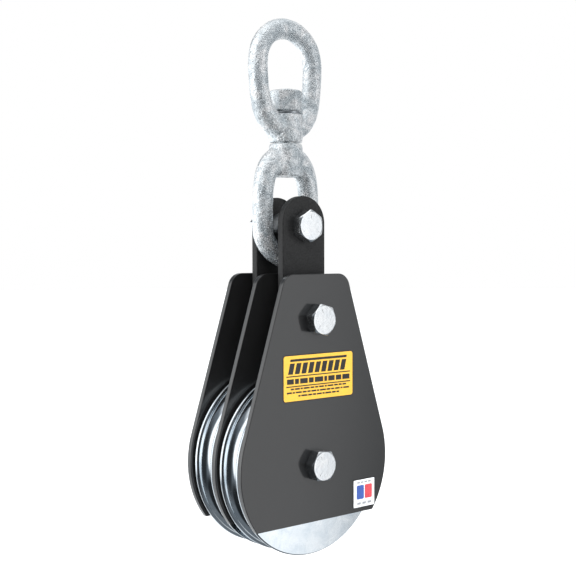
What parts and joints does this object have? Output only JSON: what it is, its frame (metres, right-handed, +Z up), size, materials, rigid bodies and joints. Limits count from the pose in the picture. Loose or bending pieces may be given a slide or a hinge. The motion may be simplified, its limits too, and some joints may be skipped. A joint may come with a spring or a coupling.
{
  "type": "double sheave block",
  "caption": "Rigging block with rope sheaves side by side between flat cheek plates, hung by straps from a forged swivel eye and link.",
  "frame": {"origin": "hang point, at the inner top of the swivel eye", "axes": "+Z up along the line of pull, X across the cheek plates, Y along the axle, front with the bolt heads at -Y"},
  "size_m": [0.1564, 0.1056, 0.4472],
  "materials": {
    "black_paint": "semi-gloss",
    "black_texture": "fine textured satin",
    "zinc": "bright zinc plate",
    "polished_zinc": "turned and zinc plated",
    "galvanised": "hot dip galvanised forging",
    "bronze": "machined",
    "yellow_label": "printed film",
    "white_label": "printed film"
  },
  "bodies": {
    "eye": {"swivel_eye": "galvanised"},
    "link": {"swivel_link": "galvanised", "swivel_pin": "galvanised", "swivel_nut": "galvanised", "swivel_washer": "galvanised"},
    "block_frame": {"front_cheek_plate": "black_paint", "middle_cheek_plate": "black_paint", "rear_cheek_plate": "black_paint", "front_strap": "black_texture", "rear_strap": "black_texture", "front_bay_front_thrust_washer": "bronze", "front_bay_front_spacer": "zinc", "front_bay_rear_thrust_washer": "bronze", "front_bay_rear_spacer": "zinc", "rear_bay_front_thrust_washer": "bronze", "rear_bay_front_spacer": "zinc", "rear_bay_rear_thrust_washer": "bronze", "rear_bay_rear_spacer": "zinc", "axle_bolt": "zinc", "axle_washer": "zinc", "axle_nut": "zinc", "middle_bolt": "zinc", "middle_washer": "zinc", "middle_nut": "zinc", "top_bolt": "zinc", "top_washer": "zinc", "top_nut": "zinc", "top_bolt_sleeve": "zinc", "plain_yellow_label": "yellow_label", "plain_white_label": "white_label"},
    "front_wheel": {"front_sheave": "polished_zinc", "front_sheave_bushing": "bronze"},
    "rear_wheel": {"rear_sheave": "polished_zinc", "rear_sheave_bushing": "bronze"}
  },
  "joints": [
    {"name": "eye_swivel", "type": "hinge", "parent": "eye", "child": "link", "pos_m": [0, 0, -0.08755], "axis": [0, 0, 1], "continuous": true},
    {"name": "link_swing", "type": "hinge", "parent": "link", "child": "block_frame", "pos_m": [0, 0, -0.1575], "axis": [0, 1, 0], "range_deg": [-95, 95]},
    {"name": "front_sheave_spin", "type": "hinge", "parent": "block_frame", "child": "front_wheel", "pos_m": [0, -0.02055, -0.354], "axis": [0, 1, 0], "continuous": true},
    {"name": "rear_sheave_spin", "type": "hinge", "parent": "block_frame", "child": "rear_wheel", "pos_m": [0, 0.01455, -0.354], "axis": [0, 1, 0], "continuous": true}
  ]
}
